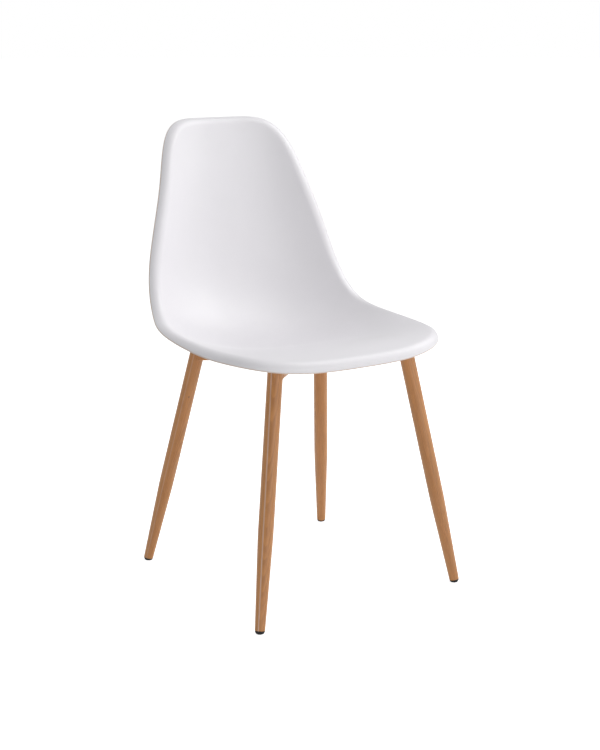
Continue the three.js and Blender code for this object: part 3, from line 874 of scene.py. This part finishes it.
def streak_mask(points, turn_low, turn_high, strength):
    """Narrow bell of strength round a line up the leg, exp(-(arc distance/width)^2). The line's turn
    goes from the low to the high one with the cube of the height."""
    turn = turn_low + (turn_high - turn_low) * (points[:, 2] / FRAME_CENTRE[2]) ** 3
    angle = np.arctan2(points[:, 1], points[:, 0]) - np.radians(turn)
    angle = (angle + np.pi) % (2 * np.pi) - np.pi
    arc_length = angle * np.hypot(points[:, 0], points[:, 1])
    return strength * np.exp(-((arc_length / STREAK_WIDTH) ** 2))


def wood_piece(name, replaced, points, quads, grain, streak):
    """Piece in the wood finish, given each point's place in the timber and its pale streak."""
    data = new_mesh(name, points, quads)
    add_attribute(data, "grain_place", grain)
    add_attribute(data, "pale_streak_print_and_highlight", streak)
    piece(name, data, wood_print, [replaced], crease=35)


def make_leg(corner):
    """Hollow tapered tube, its grain running up the leg."""
    points, quads = turned(leg_profile(corner.length), LEG_SIDES)
    grain = points + np.array(TIMBER[corner.name])
    # The pale streak, partly a print seam and partly a painted highlight.
    streak = streak_mask(points, *STREAKS[corner.name])
    placed = corner.up_leg(points)
    wood_piece("leg_tube_" + corner.name, "leg_" + corner.name, placed, quads, grain, streak)


def stem_ridges(stem, heights, depth, rise):
    """Ridges round a plug's stem: at each height the outline rises sharply and falls slowly."""
    outline = []
    for height in heights:
        foot = stem - depth
        outline += [(foot, height - rise), (stem, height), (foot, height + RIDGE_FALL)]
    return outline


def make_glide(corner):
    """Domed glide with a stem in the tube; points below the floor are lifted on to it, which makes
    the flat where it stands."""
    stem = float(leg_radius(GLIDE_HEIGHT)) - LEG_WALL - GAP
    top = GLIDE_HEIGHT
    soft = 0.0004
    dome = [(0, -0.0020), (0.002, -0.0019), (0.0036, -0.0016), (0.0050, -0.0009), (0.0063, 0.0)]
    dome += [(0.0072, 0.0011), (0.0077, 0.0020), (0.0081, 0.0027), (GLIDE_RADIUS, 0.0034)]
    collar = [(GLIDE_RADIUS, top - soft), (GLIDE_RADIUS - soft, top), (stem, top)]
    barbs = stem_ridges(stem, [top + 0.003 + 0.0034 * k for k in range(3)], 0.0007, 0.0008)
    end = [(stem - 0.0012, top + GLIDE_STEM), (0, top + GLIDE_STEM)]
    points, quads = turned(dome + collar + barbs + end, PLUG_SIDES)
    placed = corner.up_leg(points)
    placed[:, 2] = np.maximum(placed[:, 2], 0.0)
    corner_piece("glide", "foot_glide", corner, placed, quads, black_plastic)


def make_cap(corner):
    """Plug for the tube's top end: a rounded flange, and a stem with two ribs."""
    length = corner.length
    stem = LEG_RADIUS - LEG_WALL - GAP
    low = length + GAP
    flange = [(stem, low), (LEG_RADIUS, low)]
    flange += arc((LEG_RADIUS - CAP_ROUNDING, low + CAP_THICKNESS - CAP_ROUNDING), CAP_ROUNDING, 0, 90, 6)
    ribs = [(0, length - CAP_STEM), (stem - 0.0012, length - CAP_STEM)]
    ribs += stem_ridges(stem, [length - 0.0072 + 0.0036 * k for k in range(2)], 0.0006, 0.0009)
    points, quads = turned(ribs + flange + [(0, low + CAP_THICKNESS)], PLUG_SIDES)
    placed = corner.up_leg(points)
    corner_piece("cap", "leg_cap", corner, placed, quads, black_plastic)


for each in corners.values():
    make_leg(each)
    make_glide(each)
    make_cap(each)


# ---- Frame bars and plate ----


def rounded_section(width, height, radius, steps=6):
    """Anticlockwise rounded rectangle round (0, 0)."""
    x = width / 2 - radius
    y = height / 2 - radius
    outline = []
    for place, start in [((x, y), 0), ((-x, y), 90), ((-x, -y), 180), ((x, -y), 270)]:
        outline += arc(place, radius, start, start + 90, steps)
    return np.array(outline)


UPWARD = np.array([0.0, 0.0, 1.0])
EDGE_SOFTNESS = 0.0004


def saddle_start(corner, along, side, section):
    """How far from the leg's axis each line of the bar's section begins: where it leaves a cylinder
    of the leg's radius plus the gap round the leg's axis, but no nearer than the bar's start."""
    offset = section[:, :1] * side + section[:, 1:] * UPWARD
    lean = float(along @ corner.plane_axis)
    on_axis = offset @ corner.plane_axis
    a = 1 - lean**2
    b = 2 * (offset @ along - on_axis * lean)
    c = np.sum(offset**2, axis=1) - on_axis**2 - (LEG_RADIUS + GAP) ** 2
    under_root = b**2 - 4 * a * c
    root = (-b + np.sqrt(np.maximum(under_root, 0))) / (2 * a)
    return np.where(under_root > 0, np.maximum(root, BAR_START), BAR_START)


def weld_bead(path, inward):
    """Bead round a joint: a circle carried along the closed path, with a ripple in its radius. The
    circle's axes are the direction away from the leg or bar that it joins, and its cross product."""
    tangent = unit(np.roll(path, -1, axis=0) - np.roll(path, 1, axis=0))
    outward = unit(-inward + np.sum(inward * tangent, axis=1, keepdims=True) * tangent)
    across = np.cross(tangent, outward)
    step = np.linalg.norm(path - np.roll(path, 1, axis=0), axis=1)
    distance = np.cumsum(step)
    waves = round(distance[-1] / BEAD_RIPPLE)
    radius = BEAD_RADIUS * (1 + BEAD_SWELL * np.abs(np.sin(np.pi * waves * distance / distance[-1])))
    angle = np.linspace(0, 2 * np.pi, BEAD_SIDES, endpoint=False)[:, None]
    circle = np.cos(angle) * outward[:, None] + np.sin(angle) * across[:, None]
    points = path[:, None] + radius[:, None, None] * circle
    quads = lattice_faces(len(path), BEAD_SIDES, wrap_rows=True, wrap_columns=True)
    return points.reshape(-1, 3), quads


def evenly(path, count):
    """The closed path with its points spaced evenly along it."""
    closed = np.concatenate([path, path[:1]])
    distance = np.concatenate([[0], np.cumsum(np.linalg.norm(np.diff(closed, axis=0), axis=1))])
    wanted = np.linspace(0, distance[-1], count, endpoint=False)
    return np.stack([np.interp(wanted, distance, closed[:, axis]) for axis in range(3)], axis=-1)


class Bar:
    """A bar from one corner's leg to another corner's leg, or to the side of the through bar."""

    def __init__(self, start, end):
        self.start = start
        self.end = end
        reach = (end.meeting if end else np.zeros(3)) - start.meeting
        self.length = np.linalg.norm(reach)
        self.along = unit(reach)
        self.side = np.cross(UPWARD, self.along)

    def stops(self, section):
        """How far from the start each line of the section begins and ends."""
        begin = saddle_start(self.start, self.along, self.side, section)
        if self.end:
            mirrored = section * np.array([-1.0, 1.0])
            return begin, self.length - saddle_start(self.end, -self.along, -self.side, mirrored)
        through = unit(corners["rear_right"].meeting - corners["front_left"].meeting)
        across = np.cross(UPWARD, through)
        slant = (self.side @ across) / (self.along @ across)
        reach = (BAR_WIDTH / 2 + GAP) / abs(self.along @ across)
        return begin, self.length - reach - section[:, 0] * slant

    def row(self, section, distance):
        """The section's points, each at its own distance along the bar."""
        flat = self.start.meeting + distance[:, None] * self.along + section[:, :1] * self.side
        return flat + section[:, 1:] * UPWARD

    def body(self, outer):
        """The section carried along the bar. Each end closes in rings of a shrinking section, each
        cut to the same saddle."""
        begin, end = self.stops(outer)
        closing = [0.0, 0.35, 0.7, 1 - EDGE_SOFTNESS / BAR_HEIGHT]
        rows = [self.row(outer * scale, self.stops(outer * scale)[0]) for scale in closing]
        for t in np.linspace(0, 1, 25):
            rows.append(self.row(outer, begin + EDGE_SOFTNESS + (end - begin - 2 * EDGE_SOFTNESS) * t))
        rows += [self.row(outer * scale, self.stops(outer * scale)[1]) for scale in reversed(closing)]
        return np.stack(rows).reshape(-1, 3), lattice_faces(len(rows), len(outer), wrap_columns=True)

    def weld(self, corner, ring):
        """Bead round one end, against a corner's leg or against the through bar."""
        path = evenly(ring, 120)
        if corner:
            from_axis = path - corner.meeting
            inward = (from_axis @ corner.plane_axis)[:, None] * corner.plane_axis - from_axis
        else:
            inward = np.repeat(self.along[None], len(path), axis=0)
        return weld_bead(path, unit(inward))


def make_bar(name, start, end=None, timber=(0.03, 0.05, 3.0)):
    """Bar piece in the chair's axes, with the grain along it."""
    bar = Bar(corners[start], corners[end] if end else None)
    outer = rounded_section(BAR_WIDTH, BAR_HEIGHT, BAR_CORNER)
    begin, stop = bar.stops(outer)
    welds = [bar.weld(bar.start, bar.row(outer, begin)), bar.weld(bar.end, bar.row(outer, stop))]
    points, quads = gathered([bar.body(outer), *welds])
    relative = points - bar.start.meeting
    grain = np.stack([relative @ bar.side, relative[:, 2], relative @ bar.along], axis=-1)
    grain = grain + np.array(timber)
    wood_piece(name + "_tube", name, from_frame_plane(points), quads, grain, np.zeros(len(points)))


def make_plate():
    """Plate under the crossing: a rounded square with broken edges."""
    outline = rounded_section(PLATE_WIDTH, PLATE_WIDTH, PLATE_CORNER, 9)
    high = -BAR_HEIGHT / 2 - GAP
    low = high - PLATE_THICKNESS
    shrink = 1 - 2 * EDGE_SOFTNESS / PLATE_WIDTH
    layers = [(0.0, low), (shrink, low), (1.0, low + EDGE_SOFTNESS)]
    layers += [(1.0, high - EDGE_SOFTNESS), (shrink, high), (0.0, high)]
    count = len(outline)
    rows = [np.column_stack([outline * scale, np.full(count, height)]) for scale, height in layers]
    points = np.concatenate(rows)
    quads = lattice_faces(len(layers), count, wrap_columns=True)
    placed = from_frame_plane(points)
    grain = points[:, [0, 2, 1]] + np.array([0.05, 0.04, 5.0])
    wood_piece("frame_plate_sheet", "frame_plate", placed, quads, grain, np.zeros(count * len(layers)))


make_bar("frame_bar_long", "front_left", "rear_right")
make_bar("frame_bar_front_right", "front_right", timber=(-0.04, 0.03, 3.7))
make_bar("frame_bar_rear_left", "rear_left", timber=(0.02, -0.05, 4.3))
make_plate()


# ---- Pads, washers, inserts and bolts ----


def ring_profile(outer, inner, low, high, soft):
    """Closed (radius, height) outline of a flat ring with rounded outer edges."""
    outline = [(inner, low), (outer - soft, low), *arc((outer - soft, low + soft), soft, -90, 0, 4)]
    outline += [*arc((outer - soft, high - soft), soft, 0, 90, 4), (inner, high), (inner, low)]
    return outline


def hexagon(angle):
    """Radius factor of a regular hexagon whose corners are at 1."""
    within = (angle % (np.pi / 3)) - np.pi / 6
    return math.cos(np.pi / 6) / np.cos(within)


def make_fixing(kind, replaced, corner, profile, material, slot, shape=None, sides=FIXING_SIDES):
    """Turned piece at a corner's fixing point, upright on the frame's plane."""
    points, quads = turned(profile, sides, shape)
    placed = from_frame_plane(points + corner.fixing)
    corner_piece(kind, replaced, corner, placed, quads, material)


def bolt_profile(head_high):
    """Button head with its socket, and a shank whose rolled thread is a row of small ridges."""
    low = head_high - HEAD_HEIGHT
    socket = [(0, low + SOCKET_DEPTH), (SOCKET_RADIUS, low + SOCKET_DEPTH), (SOCKET_RADIUS, low)]
    crown = []
    for turn in np.linspace(0.12, math.pi / 2, 9):
        height = low + HEAD_HEIGHT * 0.85 * (1 - math.cos(turn))
        crown.append((HEAD_RADIUS * (0.5 + 0.5 * math.sin(turn)), height))
    shank = [(HEAD_RADIUS, head_high), (BOLT_RADIUS, head_high)]
    tip = head_high + BOLT_REACH
    ridges = []
    for height in np.arange(head_high + THREAD_START, tip - 1.5 * THREAD_PITCH, THREAD_PITCH):
        ridges += [(BOLT_RADIUS, height), (BOLT_RADIUS - THREAD_DEPTH, height + THREAD_PITCH / 2)]
    return socket + crown + shank + ridges + [(BOLT_RADIUS - THREAD_PITCH, tip), (0, tip)]


def socket_shape(angle):
    """Only the first three steps of the bolt's profile, the socket, are hexagonal."""
    steps = len(bolt_profile(0.0))
    factor = np.ones((steps, len(angle)))
    factor[:3] = hexagon(angle)
    return factor


def knurled(angle):
    """Radius factor of an insert's outer face: a wave for each fine tooth."""
    return 1 - KNURL_DEPTH * (0.5 + 0.5 * np.cos(KNURL_TEETH * angle))


def insert_profile(low):
    """Closed outline of the insert, with a groove between its two knurled bands."""
    high = low + INSERT_LENGTH
    inner = BOLT_RADIUS + GAP
    middle = (low + high) / 2
    wide = 0.0008
    narrow = 0.0006
    floor = INSERT_RADIUS - GROOVE_DEPTH
    groove = [(INSERT_RADIUS, middle - wide), (floor, middle - narrow)]
    groove += [(floor, middle + narrow), (INSERT_RADIUS, middle + wide)]
    outside = [(INSERT_RADIUS, low), *groove, (INSERT_RADIUS, high)]
    return [(inner, low), *outside, (inner, high), (inner, low)]


def insert_shape(angle):
    """The outer steps of the insert's profile are knurled and its bore is round."""
    factor = np.ones((9, len(angle)))
    factor[1:7] = knurled(angle)
    return factor


pad_low = BAR_HEIGHT / 2 + GAP
pad_high = pad_low + PAD_HEIGHT
washer_high = -BAR_HEIGHT / 2 - GAP
washer_low = washer_high - WASHER_HEIGHT
pad_outline = ring_profile(PAD_RADIUS, BOLT_CLEARANCE, pad_low, pad_high, 0.0005)
washer_outline = ring_profile(WASHER_RADIUS, BOLT_CLEARANCE, washer_low, washer_high, 0.0003)
insert_outline = insert_profile(pad_high + 2 * GAP)
bolt_outline = bolt_profile(washer_low - GAP)

for each in corners.values():
    make_fixing("pad", "seat_pad", each, pad_outline, pad_rubber, "pad_rubber")
    make_fixing("flat_washer", "washer", each, washer_outline, zinc_steel, "zinc_steel")
    brass = (insert_brass, "insert_brass", insert_shape, 6 * KNURL_TEETH)
    make_fixing("insert", "threaded_insert", each, insert_outline, *brass)
    make_fixing("bolt", "seat_bolt", each, bolt_outline, zinc_steel, "zinc_steel", socket_shape)


# ---- Floor, lights and camera ----

CAMERA_PLACE = (-1.3774, -2.0906, 0.9591)
CAMERA_HEADING = math.radians(33.892)
CAMERA_PITCH = math.radians(13.355)
CAMERA_LENS = 68.7
FLOOR_SEEN_GLOW = 0.72
SURROUND_LIGHT = 0.377
LIGHT_DISTANCE = 3.2
LIGHT_SIZE = 2.2
LIGHT_TARGET = (0.0, 0.0, 0.45)

# Turn from the camera's heading and elevation in degrees, and power in watts.
LIGHTS = {
    "key": (110, 45, 48),
    "side": (90, 25, 13),
    "front": (40, 5, 23),
    "left": (-110, 45, 19),
}


def aimed(place, target):
    """Turn that points an object's -Z from one place to another."""
    return (Vector(target) - Vector(place)).to_track_quat("-Z", "Y").to_euler()


def camera_choice(tree, lighting, seen):
    """One shader for camera rays and another for every other ray."""
    choose = node(tree, "ShaderNodeMixShader")
    link(tree, node(tree, "ShaderNodeLightPath").outputs["Is Camera Ray"], choose.inputs[0])
    link(tree, lighting, choose.inputs[1])
    link(tree, seen, choose.inputs[2])
    return choose.outputs[0]


def make_floor():
    """Pale floor, a wide disc. It is seen as bright as the surroundings, and lights the chair from
    below only softly."""
    made, tree, shader = new_material("pale_floor", Roughness=0.9, Specular_IOR_Level=0.1)
    shade = noise(tree, object_place(tree), 1.3, 2.0)
    tone = mixed(tree, shade, (0.92, 0.92, 0.92), (0.94, 0.94, 0.94))
    link(tree, tone, shader.inputs["Base Color"])
    glow = node(tree, "ShaderNodeEmission")
    glow.inputs["Strength"].default_value = FLOOR_SEEN_GLOW
    seen = node(tree, "ShaderNodeAddShader")
    link(tree, shader.outputs[0], seen.inputs[0])
    link(tree, glow.outputs[0], seen.inputs[1])
    output = next(n for n in tree.nodes if n.type == "OUTPUT_MATERIAL")
    link(tree, camera_choice(tree, shader.outputs[0], seen.outputs[0]), output.inputs["Surface"])
    angle = np.linspace(0, 2 * np.pi, 96, endpoint=False)
    radius = np.array([0.0, 1.0, 4.0, 60.0])
    x = radius[:, None] * np.cos(angle)
    y = radius[:, None] * np.sin(angle)
    points = np.stack([x, y, np.zeros_like(x)], axis=-1).reshape(-1, 3)
    data = new_mesh("floor", points, lattice_faces(*x.shape, wrap_columns=True)[:, ::-1])
    close_poles(data)
    data.materials.append(made)
    floor = bpy.data.objects.new("floor", data)
    bpy.context.scene.collection.objects.link(floor)


def area_light(name, turn, elevation, power):
    """Square soft light at a turn from the camera's heading (positive to its right), aimed at the
    middle of the chair."""
    back = CAMERA_HEADING + math.pi
    heading = back - math.radians(turn)
    flat = math.cos(math.radians(elevation)) * LIGHT_DISTANCE
    height = math.sin(math.radians(elevation)) * LIGHT_DISTANCE
    place = (math.sin(heading) * flat, math.cos(heading) * flat, LIGHT_TARGET[2] + height)
    lamp = bpy.data.lights.new(name, "AREA")
    lamp.shape = "SQUARE"
    lamp.size = LIGHT_SIZE
    lamp.energy = power
    made = bpy.data.objects.new(name, lamp)
    made.location = place
    made.rotation_euler = aimed(place, LIGHT_TARGET)
    made.visible_camera = False
    bpy.context.scene.collection.objects.link(made)


def make_world():
    """Even white surroundings: bright to the eye, softer as a light."""
    world = bpy.data.worlds.new("studio")
    bpy.context.scene.world = world
    world.use_nodes = True
    tree = world.node_tree
    tree.nodes.clear()
    seen = node(tree, "ShaderNodeBackground")
    seen.inputs["Color"].default_value = (1.0, 1.0, 1.0, 1.0)
    seen.inputs["Strength"].default_value = 1.0
    lit = node(tree, "ShaderNodeBackground")
    lit.inputs["Color"].default_value = (0.98, 0.99, 1.0, 1.0)
    lit.inputs["Strength"].default_value = SURROUND_LIGHT
    chosen = camera_choice(tree, lit.outputs[0], seen.outputs[0])
    link(tree, chosen, node(tree, "ShaderNodeOutputWorld").inputs["Surface"])


def make_camera():
    """Camera at eye height, in front and to the sitter's right."""
    lens = bpy.data.cameras.new("camera")
    lens.lens = CAMERA_LENS
    lens.sensor_width = 36.0
    made = bpy.data.objects.new("camera", lens)
    made.location = CAMERA_PLACE
    made.rotation_euler = Euler((math.pi / 2 - CAMERA_PITCH, 0.0, -CAMERA_HEADING))
    bpy.context.scene.collection.objects.link(made)
    bpy.context.scene.camera = made


make_floor()
make_world()
make_camera()
for light_name, (light_turn, light_elevation, light_power) in LIGHTS.items():
    area_light(light_name, light_turn, light_elevation, light_power)
bpy.context.scene.view_settings.view_transform = "Standard"
